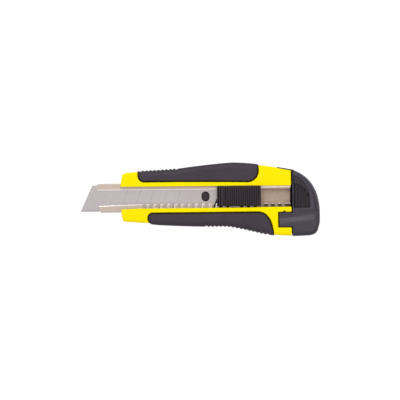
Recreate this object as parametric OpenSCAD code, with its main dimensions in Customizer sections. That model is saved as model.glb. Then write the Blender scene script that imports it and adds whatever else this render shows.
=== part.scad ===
// Snap-off knife for 18 mm blades. It lies on its back: +X runs from the blade tip to
// the end cap, +Y points to the spine and +Z is the face with the slider window.
// The origin is under the middle of the knife, on the surface that it lies on.

/* [Blade] */
// Width of the blade, cutting edge to back
blade_w = 18; // [17.8:0.1:18.1]
// Thickness of the blade
blade_t = 0.5; // [0.4:0.05:0.5]
// Length of the blade along its back
blade_len = 89.8; // [80:0.2:90]
// Angle between the score lines and the blade's length
score_angle = 65.5; // [60:0.5:68]
// Distance from one score line to the next
score_pitch = 9.15; // [8.8:0.05:9.4]
// Number of score lines
score_count = 7; // [5:1:7]

/* [Rail] */
// Thickness of the rail's sheet steel
sheet = 0.5; // [0.4:0.05:0.5]
// Distance from one ratchet tooth of the rail to the next
tooth_pitch = 4.74; // [4.7:0.01:4.76]
// Width of a ratchet tooth
tooth_w = 2.5; // [2.2:0.1:2.8]

/* [Housing] */
// Height of the yellow front face above the table
face_z = 15.6; // [15.2:0.1:16]
// Rounding of the outer edges
edge_r = 1.6; // [1.2:0.1:1.8]
// How far the grips stand proud of the yellow housing
grip_proud = 0.55; // [0.3:0.05:0.6]
// Thickness of the grips below the housing's surface
grip_skin = 1.8; // [1.4:0.1:2]
// Depth of the ripples in the grips
ripple_depth = 0.7; // [0.4:0.1:0.9]

/* [Slider] */
// Length of the ribbed thumb button
button_len = 25.5; // [25:0.1:25.5]
// Height of the thumb button's top above the table
button_z = 17.4; // [16.6:0.1:17.6]
// Number of fine ribs across the thumb button
button_ribs = 17; // [9:1:20]

/* [Cap] */
// Height of the cap's front face above the table
cap_z = 15.9; // [15.6:0.1:16.2]
// Rounding of the cap's outer edges
cap_edge_r = 2.4; // [1.5:0.1:2.8]
// How far the housing's spigots reach into the cap
spigot_len = 9; // [6:0.5:10]

/* [Hidden] */
$fn = 32;

// Heights above the table
back_z = grip_proud;
part_z = 5.8;
divider_top = 7.0;
rail_z = divider_top;
lip_top = 11.1;
lip_z = lip_top - sheet;
blade_z = 9.75;
carrier_z = rail_z + sheet + 0.2;
carrier_top = 10.3;
magazine_z = 2.4;
grip_z = face_z + grip_proud;

// Lengthwise places
rail_end = 62.2;
rear_x = 62.6;
cap_x = rear_x + 0.3;
past_rear = 66;

// Crosswise places
rail_mid = 1.4;
rail_half = 9.6;
rail_lo = rail_mid - rail_half;
rail_hi = rail_mid + rail_half;
window_lo = -5.7;
window_hi = 9.2;
upper_lip_edge = 6.8;
lower_lip_edge = -2.8;
blade_lo = rail_mid - blade_w / 2;

// Blade
tip_x = -82.1;
edge_h = 1.4;
score_x = -69.9;
score_y = 3;
peg = [3.62, 2.15];
hole_r = 2.5;
hole_shift = 0.7;

// Ratchet
first_gap = -38.0;
teeth = 20;
lock_gap = 13;
notch_floor = -6.2;

// Slider
front_rib_x = 11.5;
front_rib_end = 15.0;
button_x = 15.9;
button_end = button_x + button_len;
slider_lo = -4.8;
slider_hi = 8.9;
neck_x = 17.3;
neck_end = 39.6;
neck_lo = -2.4;
neck_hi = 6.2;
neck_z = 13.5;
slider_z = 11.35;
shift = 0.8;
rivet_x = [20.5, 36.5];
rivet_y = 2.0;
rivet_r = 0.9;
rivet_head_r = 1.7;
spring_mid = 28.5;
spring_reach = 4.9;

// Case screws: upper nose, lower nose, upper rear, lower rear
screws = [[-48.6, 14.8], [-44.5, -11.3], [49, 16.6], [57.5, -21.6]];
screw_r = 1.1;
screw_head_r = 2.1;

// Tongue of the cap, the notch it clips into and the step for the cap's thin tongue
tongue_x = 53.8;
tongue_lo = -19.4;
tongue_hi = -9.4;
tongue_z = 9.3;
step_x = 52.4;
gap = 0.3;

// A smooth line through points: n short steps between neighbours
function at(p, i) = p[max(0, min(len(p) - 1, i))];
function between(a, b, c, d, t) =
    0.5 * (2 * b + (c - a) * t + (2 * a - 5 * b + 4 * c - d) * t * t
    + (3 * b - a - 3 * c + d) * t * t * t);
function smooth(p, n) = concat(
    [for (i = [0:len(p) - 2]) for (k = [0:n - 1])
        between(at(p, i - 1), p[i], p[i + 1], at(p, i + 2), k / n)],
    [p[len(p) - 1]]);
function arc(centre, r, from, to, n) =
    [for (k = [0:n]) let (a = from + (to - from) * k / n) centre + r * [cos(a), sin(a)]];

// A closed outline moved inwards by d; a negative d moves it outwards
function unit(v) = v / norm(v);
function inward(a, b) = let (u = unit(b - a)) [-u[1], u[0]];
function inset(p, d) = [for (i = [0:len(p) - 1])
    let (m = len(p), n1 = inward(p[(i + m - 1) % m], p[i]), n2 = inward(p[i], p[(i + 1) % m]))
    p[i] + d * (n1 + n2) / (1 + n1 * n2)];

// Edges of the yellow housing, under the grips where there are any
spine_edge = smooth([[past_rear, 18.95], [rear_x, 19.75], [50.8, 21.8], [38.4, 23.5],
    [26, 24.55], [17.9, 24.4], [5.6, 23.3], [-6.8, 21.9], [-15, 20.9], [-31.5, 19.9],
    [-43, 19.45], [-50.3, 18.85]], 3);
belly_edge = smooth([[-50.6, -14.75], [-44, -15.2], [-36, -15.8], [-27.75, -16.7],
    [-11.3, -17.55], [2.4, -18], [17.4, -18.1], [25.65, -19.3], [33.85, -21.15],
    [42.05, -23.1], [50, -24.55], [58.5, -25.15], [past_rear, -25.4]], 3);
nose = [[-52.3, 18.3], [-53.1, 17.1], [-54.3, 9.4], [-54.1, -6.2], [-53.1, -13.1],
    [-52.3, -14.3]];
body_outline = concat(belly_edge, spine_edge, nose);

// Areas that the grips cover, seen from the front
upper_area = concat([[-43.1, 32], [-42.5, 18.5]], arc([-38.4, 16.1], 4, 180, 270, 4),
    arc([32.6, 19.4], 7.05, 270, 360, 6), [[39.5, 32]]);
lower_area = concat([[-31.5, -32], [51.5, -32]],
    smooth([[50.6, -25], [49.6, -19.4], [48.4, -15.4], [46.5, -12.2], [43.7, -10.1],
    [38.5, -8.8]], 2),
    arc([-32.7, -11.8], 3, 90, 180, 4), [[-35.7, -13], [-35, -15], [-33.5, -17.2]]);

// Outline of the end cap
cap_outline = concat(
    smooth([[past_rear - 8, -25.75], [70.8, -25.45], [76.4, -24.6], [79.3, -22.7],
    [80.7, -19.6], [81.4, -16], [81.54, -8.5], [81.2, -4.2], [80.5, -0.1], [79.2, 4.2],
    [77.2, 8.3], [74.4, 12.2], [71.2, 15.2], [67.1, 17.9]], 3),
    [[62.5, 20], [past_rear - 8, 21]]);
pad_outline = concat(
    smooth([[74.8, -6.1], [74.7, -1], [73.9, 4.6], [71.9, 9.3], [68.5, 13.4],
    [63.9, 16.2]], 3), [[63.9, -6.1]]);

module prism(outline, low, high) {
    translate([0, 0, low]) linear_extrude(high - low) polygon(outline);
}

module box(low, high) {
    translate(low) cube(high - low);
}

// A slab with its lower and upper edges rounded by r_low and r_high. The rounded body is
// made 1 mm too long at both ends, and a box cuts it to length with flat faces.
module slab(outline, low, high, r_low, r_high, steps = 3) {
    turns = [for (k = [0:steps]) 90 * k / steps];
    lower = r_low == 0 ? []
        : [for (a = turns) [r_low * (1 - sin(a)), low + r_low * (1 - cos(a))]];
    upper = r_high == 0 ? []
        : [for (a = turns) [r_high * (1 - cos(a)), high - r_high * (1 - sin(a))]];
    levels = concat([[r_low, low - 1]], lower, upper, [[r_high, high + 1]]);
    m = len(outline);
    last = (len(levels) - 1) * m;
    points = [for (l = levels) for (q = inset(outline, l[0])) [q[0], q[1], l[1]]];
    sides = [for (l = [0:len(levels) - 2]) for (i = [0:m - 1])
        let (a = l * m + i, b = l * m + (i + 1) % m)
        each [[a, b + m, b], [a, a + m, b + m]]];
    bottom = [[for (i = [0:m - 1]) i]];
    top = [[for (i = [0:m - 1]) last + m - 1 - i]];
    intersection() {
        polyhedron(points, concat(sides, bottom, top), convexity = 6);
        box([-100, -100, low], [100, 100, high]);
    }
}

// Space that a grip fills: its area down to the core that carries it
module grip_space(area, low, high, core_low, core_high) {
    difference() {
        prism(area, low, high);
        prism(inset(body_outline, grip_skin), core_low, core_high);
    }
}

module front_space(area) {
    grip_space(area, part_z - 1, grip_z + 1, part_z - 2, face_z - 1);
}

module back_space(area) {
    grip_space(area, -1, part_z + 1, back_z + 1, part_z + 2);
}

// Ripple grooves across a grip's edge: side is 1 on the spine and -1 on the belly
module ripples(edge, side, first, pitch, count) {
    groove_r = 1.5;
    by_x = side > 0 ? [for (i = [len(edge) - 1:-1:0]) edge[i]] : edge;
    for (i = [0:count - 1])
        let (x = first + i * pitch, y = lookup(x, by_x) + side * grip_proud)
        translate([x, y + side * (groove_r - ripple_depth), -1])
        cylinder(r = groove_r, h = grip_z + 2);
}

module spine_ripples() {
    ripples(spine_edge, 1, -40.6, 2.72, 10);
}

module belly_ripples() {
    ripples(belly_edge, -1, 4.2, 2.77, 16);
}

// Hollows inside the housing's upper and lower arms
module arm_hollows() {
    intersection() {
        prism(inset(body_outline, grip_skin + 2.2), part_z - 1, face_z - 2.6);
        union() {
            box([-39, rail_hi + 1.9, part_z - 1], [38, 40, face_z]);
            box([-32, -40, part_z - 1], [44, rail_lo - 1.9, face_z]);
        }
    }
}

module screw_holes(r, low, high) {
    for (p = screws)
        translate([p[0], p[1], low]) cylinder(r = r, h = high - low);
}

// Spigots of the housing inside the cap, less a clearance c all round
module spigots(c) {
    end = rear_x + spigot_len - c;
    box([rear_x - 1, 12 + c, 6.2 + c], [end, 14.5 - c, 12.6 - c]);
    box([rear_x - 1, -22 + c, 6.2 + c], [end, -11 - c, tongue_z - gap - c]);
}

module body_frame() {
    color([0.98, 0.88, 0.02]) difference() {
        union() {
            intersection() {
                slab(body_outline, part_z, face_z, 0, edge_r);
                box([-60, -40, 0], [rear_x, 40, 30]);
            }
            spigots(0.25);
        }
        front_space(upper_area);
        front_space(lower_area);
        arm_hollows();
        box([-60, rail_lo - 0.1, divider_top], [rear_x + 1, rail_hi + 0.1, lip_top + 0.1]);
        box([-60, window_lo, lip_top], [rear_x + 1, window_hi, 30]);
        box([tongue_x - gap, tongue_lo - gap, tongue_z - gap],
            [rear_x + 1, tongue_hi + gap, 30]);
        translate([57.4, tongue_hi + gap, tongue_z - gap]) cylinder(r = 0.9, h = 10);
        spine_step(step_x);
        screw_holes(screw_r, part_z - 1, 11);
        box([46, rail_mid - 2.2, part_z - 1], [48.5, rail_mid + 2.2, divider_top + 1]);
    }
}

module back_cover() {
    color([0.98, 0.88, 0.02]) difference() {
        intersection() {
            slab(body_outline, back_z, part_z, edge_r, 0);
            box([-60, -40, 0], [rear_x, 40, 30]);
        }
        back_space(upper_area);
        back_space(lower_area);
        box([-46, rail_mid - 9.3, magazine_z], [rear_x + 1, rail_mid + 9.3, 30]);
        screw_holes(screw_r + 0.15, 0, 10);
        screw_holes(screw_head_r + 0.2, 0, 2.8);
    }
}

module upper_grip_front() {
    color([0.26, 0.23, 0.25]) difference() {
        intersection() {
            slab(inset(body_outline, -grip_proud), part_z, grip_z, 0, edge_r + 0.4);
            front_space(upper_area);
        }
        spine_ripples();
    }
}

module lower_grip_front() {
    color([0.26, 0.23, 0.25]) difference() {
        intersection() {
            slab(inset(body_outline, -grip_proud), part_z, grip_z, 0, edge_r + 0.4);
            front_space(lower_area);
        }
        belly_ripples();
    }
}

module upper_grip_back() {
    color([0.26, 0.23, 0.25]) difference() {
        intersection() {
            slab(inset(body_outline, -grip_proud), 0, part_z, edge_r + 0.4, 0);
            back_space(upper_area);
        }
        spine_ripples();
    }
}

module lower_grip_back() {
    color([0.26, 0.23, 0.25]) difference() {
        intersection() {
            slab(inset(body_outline, -grip_proud), 0, part_z, edge_r + 0.4, 0);
            back_space(lower_area);
        }
        belly_ripples();
    }
}

// One gap of the ratchet, open at the lip's edge, with rounded floor corners
module ratchet_gap(x) {
    w = tooth_pitch - tooth_w;
    box([x - w / 2, notch_floor + 0.5, lip_z - 0.1], [x + w / 2, 0, lip_top + 0.1]);
    box([x - w / 2 + 0.5, notch_floor, lip_z - 0.1], [x + w / 2 - 0.5, 0, lip_top + 0.1]);
    for (s = [-1, 1])
        translate([x + s * (w / 2 - 0.5), notch_floor + 0.5, lip_z - 0.1])
        cylinder(r = 0.5, h = sheet + 0.2);
}

module blade_rail() {
    rail_front = [[-68, rail_lo - 1], [-68, rail_lo], [-69.7, -3.8], [-70.9, 3], [-71.3, 7.2],
        [-70.9, 9.6], [-69.6, rail_hi], [-69.6, rail_hi + 1]];
    slot = [[-80, -3.9], [-70, -3.8], [-54, -3.1], [-38, lower_lip_edge],
        [70, lower_lip_edge], [70, upper_lip_edge], [-70.4, upper_lip_edge], [-80, 6]];
    color([0.78, 0.74, 0.69]) difference() {
        union() {
            box([-75, rail_lo, rail_z], [rail_end, rail_hi, lip_top]);
            box([46.4, rail_mid - 1.8, part_z + 0.2], [48, rail_mid + 1.8, rail_z + 0.1]);
        }
        box([-80, rail_lo + sheet, rail_z + sheet], [70, rail_hi - sheet, lip_z]);
        prism(slot, lip_z - 1, lip_top + 1);
        prism(concat([[-80, rail_hi + 1], [-80, rail_lo - 1]], rail_front), 0, 20);
        for (i = [0:teeth])
            ratchet_gap(first_gap + i * tooth_pitch);
    }
}

// A pan-head screw with a cross recess, head down at the back
module case_screws() {
    color([0.72, 0.72, 0.74]) for (p = screws)
        translate([p[0], p[1], 0]) difference() {
            union() {
                translate([0, 0, 1.2]) cylinder(r = screw_head_r, h = 1.6);
                translate([0, 0, 2.5]) cylinder(r = screw_r - 0.05, h = 8);
            }
            for (turn = [0, 90])
                rotate(turn) translate([-1.3, -0.25, 1]) cube([2.6, 0.5, 1]);
        }
}

// A snap-off blade with its underside at height low
module snap_blade(low) {
    lean = blade_w / tan(score_angle);
    outline = [[tip_x, blade_lo], [tip_x + blade_len, blade_lo],
        [tip_x + blade_len + lean, blade_lo + blade_w], [tip_x + lean, blade_lo + blade_w]];
    section = [[blade_lo, low + blade_t / 2], [blade_lo + edge_h, low],
        [blade_lo + blade_w + 1, low], [blade_lo + blade_w + 1, low + blade_t],
        [blade_lo + edge_h, low + blade_t]];
    difference() {
        intersection() {
            prism(outline, low - 1, low + 2);
            translate([tip_x - 1, 0, 0]) rotate([90, 0, 90])
                linear_extrude(blade_len + 20) polygon(section);
        }
        for (s = [-hole_shift, hole_shift])
            translate([peg[0], peg[1] + s, low - 1]) cylinder(r = hole_r, h = 3);
        box([peg[0] - hole_r, peg[1] - hole_shift, low - 1],
            [peg[0] + hole_r, peg[1] + hole_shift, low + 2]);
        for (i = [0:score_count - 1])
            translate([score_x + i * score_pitch, score_y, low + blade_t - 0.1])
            rotate(score_angle) translate([-15, -0.12, 0]) cube([30, 0.24, 1]);
    }
}

module blade() {
    color([0.74, 0.72, 0.72]) snap_blade(blade_z);
}

// Spare blades lie in the magazine against the divider, behind the rail
module spare_blade(i) {
    back = 37.5;
    color([0.74, 0.72, 0.72]) translate([back, 0, 0]) snap_blade(part_z - i * blade_t);
}

module spare_blade_1() {
    spare_blade(1);
}

module spare_blade_2() {
    spare_blade(2);
}

module spare_blade_3() {
    spare_blade(3);
}

// A bowed strip that presses the spare blades against the divider
module magazine_spring() {
    half = 32;
    rise = part_z - 3 * blade_t - magazine_z - 0.3;
    bow = [for (k = [-6:6]) [half * k / 6, magazine_z + rise * (1 - pow(k / 6, 2))]];
    strip = concat(bow, [for (k = [len(bow) - 1:-1:0]) bow[k] + [0, 0.3]]);
    color([0.6, 0.6, 0.62]) translate([4, rail_mid + 4, 0]) rotate([90, 0, 0])
        linear_extrude(8) polygon(strip);
}

module stadium(r, half, low, high) {
    for (s = [-half, half])
        translate([s, 0, low]) cylinder(r = r, h = high - low);
    box([-half, -r, low], [half, r, high]);
}

module blade_carrier() {
    color([0.16, 0.14, 0.16]) difference() {
        union() {
            box([-2, -2, carrier_z], [neck_x, 6.2, blade_z]);
            box([9, rail_lo + 0.8, carrier_z], [41, rail_hi - 0.8, blade_z]);
            box([neck_x, neck_lo, blade_z - 0.1], [41, rail_hi - 0.8, carrier_top]);
            box([neck_x, neck_lo, blade_z - 0.1], [neck_end, neck_hi, neck_z]);
            box([front_rib_x + 1, neck_lo, slider_z], [neck_x + 1, neck_hi, neck_z]);
            box([front_rib_x, slider_lo, slider_z], [front_rib_end, slider_hi, 15.6]);
            for (x = [front_rib_x, front_rib_x + 1.3, front_rib_x + 2.6])
                box([x, slider_lo, 15], [x + 0.8, slider_hi, 16.5]);
            translate([peg[0], peg[1], 0]) rotate(90)
                stadium(hole_r - 0.2, hole_shift, blade_z - 0.2, blade_z + blade_t + 0.15);
        }
        for (x = rivet_x)
            translate([x, rivet_y, 0]) {
                stadium(rivet_r + 0.1, shift + 0.1, 0, 20);
                stadium(rivet_head_r + 0.1, shift + 0.1, 0, carrier_z + 1.2);
            }
        box([spring_mid - spring_reach, rivet_y - 1.2, neck_z - 1.4],
            [spring_mid + spring_reach, rivet_y + 1.2, neck_z + 1]);
    }
}

// Leaf spring behind the blade's tail; its tooth stands in one gap of the ratchet
module lock_spring() {
    tail = tip_x + blade_len + 1.1;
    lean = 1 / tan(score_angle);
    tooth_x = first_gap + lock_gap * tooth_pitch;
    arm_end = tooth_x + 1.6;
    foot = rail_lo + 1;
    leaf = [[tail + (foot - blade_lo) * lean, foot], [arm_end, foot], [arm_end, -3.3],
        [neck_x - 0.3, -3.3], [neck_x - 0.3, 0.6], [tail + (0.6 - blade_lo) * lean, 0.6]];
    color([0.7, 0.7, 0.72]) {
        prism(leaf, blade_z, blade_z + 0.5);
        box([tooth_x - 0.7, -5.9, blade_z + 0.4], [tooth_x + 0.7, -3.4, lip_top - 0.05]);
    }
}

module thumb_button() {
    pitch = button_len / button_ribs;
    wall = 0.9;
    color([0.17, 0.15, 0.17]) difference() {
        union() {
            difference() {
                box([button_x, slider_lo, slider_z], [button_end, slider_hi, button_z]);
                box([button_x - 1, neck_lo - 0.2, slider_z - 1],
                    [button_end - wall, neck_hi + 0.2, neck_z + 0.25]);
            }
            box([spring_mid - 0.6, rivet_y - 0.9, neck_z - 1.2],
                [spring_mid + 0.6, rivet_y + 0.9, neck_z + 1]);
        }
        for (i = [1:button_ribs - 1])
            box([button_x + i * pitch - 0.3, slider_lo - 1, button_z - 0.6],
                [button_x + i * pitch + 0.3, slider_hi + 1, button_z + 1]);
        for (x = rivet_x)
            translate([x, rivet_y, 0]) cylinder(r = rivet_r + 0.03, h = neck_z + 2);
    }
}

module button_rivets() {
    color([0.68, 0.68, 0.7]) for (x = rivet_x)
        translate([x, rivet_y, 0]) {
            translate([0, 0, carrier_z + 0.2]) cylinder(r = rivet_head_r, h = 0.8);
            translate([0, 0, carrier_z + 0.6]) cylinder(r = rivet_r, h = neck_z - carrier_z + 1.2);
        }
}

// Two zigzag springs that hold the button's pin in the middle of its pocket
module return_springs() {
    reach = spring_reach - 0.7;
    folds = 8;
    line = [for (k = [0:folds]) [reach * k / folds, k % 2 == 0 ? -0.7 : 0.7]];
    strip = concat([for (p = line) p - [0, 0.12]],
        [for (k = [folds:-1:0]) line[k] + [0, 0.12]]);
    color([0.6, 0.6, 0.62]) for (side = [0, 1])
        translate([spring_mid, rivet_y, neck_z - 1.2]) mirror([side, 0, 0])
        translate([0.65, 0, 0]) linear_extrude(1) polygon(strip);
}

// Space outside the step in the spine where the cap's thin tongue lies
module spine_step(start) {
    prism([[start, 30], [start, 21.5], [start + 1, 20.75], [past_rear, 18.3],
        [past_rear, 30]], 4, 30);
}

module end_cap() {
    color([0.33, 0.32, 0.37]) difference() {
        union() {
            intersection() {
                slab(cap_outline, back_z - 0.3, cap_z, cap_edge_r, cap_edge_r);
                box([cap_x, -40, -1], [90, 40, 30]);
            }
            intersection() {
                slab(inset(body_outline, 0.1), part_z + 0.2, face_z - 0.4, 0, edge_r);
                spine_step(step_x + gap);
                box([0, 0, 0], [cap_x + 1, 40, 30]);
            }
            box([tongue_x, tongue_lo, tongue_z], [cap_x + 1, tongue_hi, face_z]);
        }
        spigots(0);
        prism(pad_outline, cap_z - 1.6, cap_z + 1);
    }
}

// Ribbed thumb pad let into the cap's face
module cap_pad() {
    rib_pitch = 1.9;
    color([0.2, 0.18, 0.2]) intersection() {
        prism(pad_outline, cap_z - 2, cap_z + 1);
        union() {
            box([60, -10, cap_z - 1.6], [80, 20, cap_z - 1]);
            for (i = [0:5])
                box([64.4 + i * rib_pitch, -10, cap_z - 1.6],
                    [64.4 + i * rib_pitch + 1, 20, cap_z - 0.3]);
        }
    }
}

body_frame();
back_cover();
upper_grip_front();
lower_grip_front();
upper_grip_back();
lower_grip_back();
blade_rail();
case_screws();
spare_blade_1();
spare_blade_2();
spare_blade_3();
magazine_spring();
blade();
blade_carrier();
lock_spring();
thumb_button();
button_rivets();
return_springs();
end_cap();
cap_pad();
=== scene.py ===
# Looks of the snap-off knife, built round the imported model. All shapes are worked out in
# millimetres in the model's frame and become metres when a mesh is made.
import math

import bpy
import numpy as np
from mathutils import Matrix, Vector
from mathutils.geometry import delaunay_2d_cdt


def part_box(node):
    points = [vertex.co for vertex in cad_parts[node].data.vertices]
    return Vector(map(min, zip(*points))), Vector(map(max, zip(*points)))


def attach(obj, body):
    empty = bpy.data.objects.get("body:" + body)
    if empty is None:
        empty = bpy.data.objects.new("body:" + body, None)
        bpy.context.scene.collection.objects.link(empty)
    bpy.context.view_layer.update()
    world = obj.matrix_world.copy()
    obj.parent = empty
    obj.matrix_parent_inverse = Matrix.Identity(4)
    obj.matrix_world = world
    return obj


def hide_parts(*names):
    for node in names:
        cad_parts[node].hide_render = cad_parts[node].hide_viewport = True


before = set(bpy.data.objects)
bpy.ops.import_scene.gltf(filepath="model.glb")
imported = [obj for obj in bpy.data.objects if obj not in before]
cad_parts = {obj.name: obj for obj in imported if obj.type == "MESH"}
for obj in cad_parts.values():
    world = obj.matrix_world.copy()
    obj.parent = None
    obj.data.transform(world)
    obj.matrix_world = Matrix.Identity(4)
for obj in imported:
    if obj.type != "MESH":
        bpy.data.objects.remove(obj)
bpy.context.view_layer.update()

MM = 0.001
STEP = 0.35  # spacing of the points along an outline


# ---- places and sizes
def box(node):
    lo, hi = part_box(node)
    return np.array(lo) / MM, np.array(hi) / MM


FRAME_LO, FRAME_HI = box("body_frame")
COVER_LO, COVER_HI = box("back_cover")
GRIP_Z, TABLE_Z = box("upper_grip_front")[1][2], box("upper_grip_back")[0][2]
RAIL_LO, RAIL_HI = box("blade_rail")
BLADE_LO, BLADE_HI = box("blade")
BUTTON_LO, BUTTON_HI = box("thumb_button")
CARRIER_Z = box("blade_carrier")[0][2]
CAP_LO, CAP_HI = box("end_cap")
PAD_LO, PAD_HI = box("cap_pad")
SCREW_LO, SCREW_HI = box("case_screws")

PART_Z, FACE_Z = FRAME_LO[2], FRAME_HI[2]
BACK_Z, REAR_X = COVER_LO[2], COVER_HI[0]
PROUD = GRIP_Z - FACE_Z  # how far the grips stand out of the housing
LIP_Z, SHEET = RAIL_HI[2], 0.5
RAIL_Z, RAIL_TOP = 7.0, RAIL_HI[1] + 0.5  # the bottom of the rail and its spine side
LIPS = (-2.8, 6.8)  # the edges of the rail's two lips
FIRST_GAP, TOOTH_PITCH, GAPS = -38.0, 4.74, 21  # of the ratchet in the lower lip
HALF_GAP, GAP_FLOOR = (TOOTH_PITCH - 2.5) / 2, -6.2
LOCK_X = FIRST_GAP + 13 * TOOTH_PITCH  # the gap that holds the lock spring's tooth
MIDDLE, MAGAZINE = 1.4, 9.3  # of the rail across, and half the magazine's width
WINDOW = (-5.7, 9.2)
SCREWS = [(-48.6, 14.8), (-44.5, -11.3), (49, 16.6), (57.5, -21.6)]
TONGUE = (53.8, -19.15, -9.4)  # the end and the two sides of the cap's tongue
CAP_X, JOINT_X = 63.0, REAR_X - 0.55  # where the cap begins, and where the face ends above
COLLAR = (61.85, 2.2, 11.0)  # where the cap's collar starts, its bottom and its top
COLLAR_END = 64.5  # inside the cap
SPIGOTS = ((12.25, 14.25, 6.45, 12.35), (-21.75, -11.25, 6.45, 8.75))  # sides, bottom, top
TAIL_X = BLADE_LO[0] + 89.8  # where the blade's tail starts at its cutting edge
LEAN = 1 / math.tan(math.radians(65.5))  # of the blade's ends and score lines
FIRST_SCORE, SCORE_PITCH, SCORES = -69.9, 9.15, 7  # where they cross y = SCORE_Y
SCORE_Y = 3
PEG = (3.62, 2.15)  # the middle of the carrier's peg in the blade's hole
DECK = 9.75  # the top of the carrier's plate, on which the blade lies


# ---- outlines
def smooth(p, n):
    """A smooth line through points, n short steps between neighbours."""
    p = [np.array(q, float) for q in p]
    out = []
    for i in range(len(p) - 1):
        a, b, c = p[max(0, i - 1)], p[i], p[i + 1]
        d = p[min(len(p) - 1, i + 2)]
        for t in (k / n for k in range(n)):
            out.append(0.5 * (2 * b + (c - a) * t + (2 * a - 5 * b + 4 * c - d) * t * t
                              + (3 * b - a - 3 * c + d) * t ** 3))
    return [tuple(q) for q in out] + [tuple(p[-1])]


def arc(centre, r, start, end, n=10):
    turns = [math.radians(start + (end - start) * k / n) for k in range(n + 1)]
    return [(centre[0] + r * math.cos(a), centre[1] + r * math.sin(a)) for a in turns]


def rectangle(x0, y0, x1, y1, r=0.0, n=5):
    if r == 0:
        return [(x0, y0), (x1, y0), (x1, y1), (x0, y1)]
    return (arc((x1 - r, y0 + r), r, 270, 360, n) + arc((x1 - r, y1 - r), r, 0, 90, n)
            + arc((x0 + r, y1 - r), r, 90, 180, n) + arc((x0 + r, y0 + r), r, 180, 270, n))


def normals(loop):
    """Inward mitre directions of a closed anticlockwise outline."""
    p = np.array(loop, float)
    e = np.roll(p, -1, 0) - p
    e /= np.linalg.norm(e, axis=1)[:, None]
    n = np.stack([-e[:, 1], e[:, 0]], 1)
    m = np.roll(n, 1, 0)
    return (n + m) / (1 + np.clip((n * m).sum(1), -0.6, 1))[:, None]


def inset(loop, d):
    return np.array(loop, float) + np.reshape(d, (-1, 1)) * normals(loop)


def dense(loop, step=STEP):
    """The outline with points no further apart than step, and none nearly twice."""
    p = [np.array(q, float) for q in loop]
    p = [q for i, q in enumerate(p) if np.linalg.norm(q - p[i - 1]) > 0.04]
    out = []
    for i, a in enumerate(p):
        b = p[(i + 1) % len(p)]
        n = max(1, math.ceil(np.linalg.norm(b - a) / step))
        out += [a + (b - a) * k / n for k in range(n)]
    return np.array(out)


def soften(loop, rounds, turn=14):
    """Rounds an outline within 1.5 mm of the corners that turn by more than turn degrees."""
    p = dense(loop)
    e = np.roll(p, -1, 0) - p
    e /= np.linalg.norm(e, axis=1)[:, None]
    bend = np.degrees(np.arccos(np.clip((e * np.roll(e, 1, 0)).sum(1), -1, 1)))
    corners = p[bend > turn]
    if len(corners) == 0:
        return p
    near = (np.linalg.norm(p[:, None] - corners[None], axis=2) < 1.5).any(1)
    for _ in range(rounds):
        q = 0.5 * p + 0.25 * (np.roll(p, 1, 0) + np.roll(p, -1, 0))
        p = np.where(near[:, None], q, p)
    return p


def areas(inside, outside=()):
    """Outlines of what lies inside all of the first loops and outside the others."""
    points, faces = [], []
    for loop in (*inside, *outside):
        faces.append(list(range(len(points), len(points) + len(loop))))
        points += [Vector((float(q[0]), float(q[1]))) for q in loop]
    co, _, tris, _, _, round_it = delaunay_2d_cdt(points, [], faces, 0, 1e-5, True)
    half = {(f[k], f[(k + 1) % 3]) for f, i in zip(tris, round_it)
            if set(i) == set(range(len(inside))) for k in range(3)}
    follow = {a: b for a, b in half if (b, a) not in half}
    out = []
    while follow:
        start = next(iter(follow))
        line, at = [], start
        while at in follow:
            line.append(tuple(co[at]))
            at = follow.pop(at)
        out.append(line)
    size = lambda q: abs(sum(a[0] * b[1] - b[0] * a[1] for a, b in zip(q, q[1:] + q[:1]))) / 2
    return sorted((q for q in out if size(q) > 0.5), key=size, reverse=True)


SPINE = smooth([(66, 18.95), (62.6, 19.75), (50.8, 21.8), (38.4, 23.5), (26, 24.55),
                (17.9, 24.4), (5.6, 23.3), (-6.8, 21.9), (-15, 20.9), (-31.5, 19.9),
                (-43, 19.45), (-50.3, 18.85)], 8)
BELLY = smooth([(-50.6, -14.75), (-44, -15.2), (-36, -15.8), (-27.75, -16.7),
                (-11.3, -17.55), (2.4, -18), (17.4, -18.1), (25.65, -19.3), (33.85, -21.15),
                (42.05, -23.1), (50, -24.55), (58.5, -25.15), (66, -25.4)], 8)
NOSE = [(-52.5, 18.3), (-53.35, 17.1), (-54.7, 9.4), (-54.3, -6.2), (-53.4, -13.1),
        (-52.5, -14.3)]
BODY = soften(BELLY + SPINE + NOSE, 6, turn=9)
UPPER = ([(-43.0, 32), (-42.4, 18.8)] + arc((-38.2, 16.55), 4, 180, 270)
         + [(-14, 12.57), (0, 12.43), (20, 12.2)] + arc((32.25, 19.35), 7.4, 270, 360, 14)
         + [(39.5, 32)])
LOWER = ([(-31.5, -32), (51.5, -32)]
         + smooth([(50.1, -25), (49.0, -19.4), (47.9, -15.4), (45.9, -12.2), (43.8, -10.2),
                   (41.2, -9.2), (38.5, -8.97)], 6)
         + arc((-32.7, -12.05), 3, 90, 180, 8) + [(-35.7, -13), (-35, -15), (-33.5, -17.2)])
CAP = (smooth([(58, -25.75), (70.8, -25.45), (76.4, -24.9), (79.35, -23.0), (80.6, -19.6),
               (81.4, -16), (81.54, -8.5), (81.2, -4.2), (80.5, -0.1), (79.2, 4.2),
               (77.2, 8.3), (74.4, 12.2), (71.2, 15.2), (67.1, 17.9)], 8)
       + [(62.5, 20), (58, 21)])
PAD = smooth([(74.8, -6.1), (74.7, -1), (73.9, 4.6), (71.9, 9.3), (68.5, 13.4),
              (63.9, 16.2)], 8) + [(63.9, -6.1)]
STEP_BACK = [(52.4, 30), (52.4, 21.6), (53.4, 20.9), (66, 18.45), (66, 30)]


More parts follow.
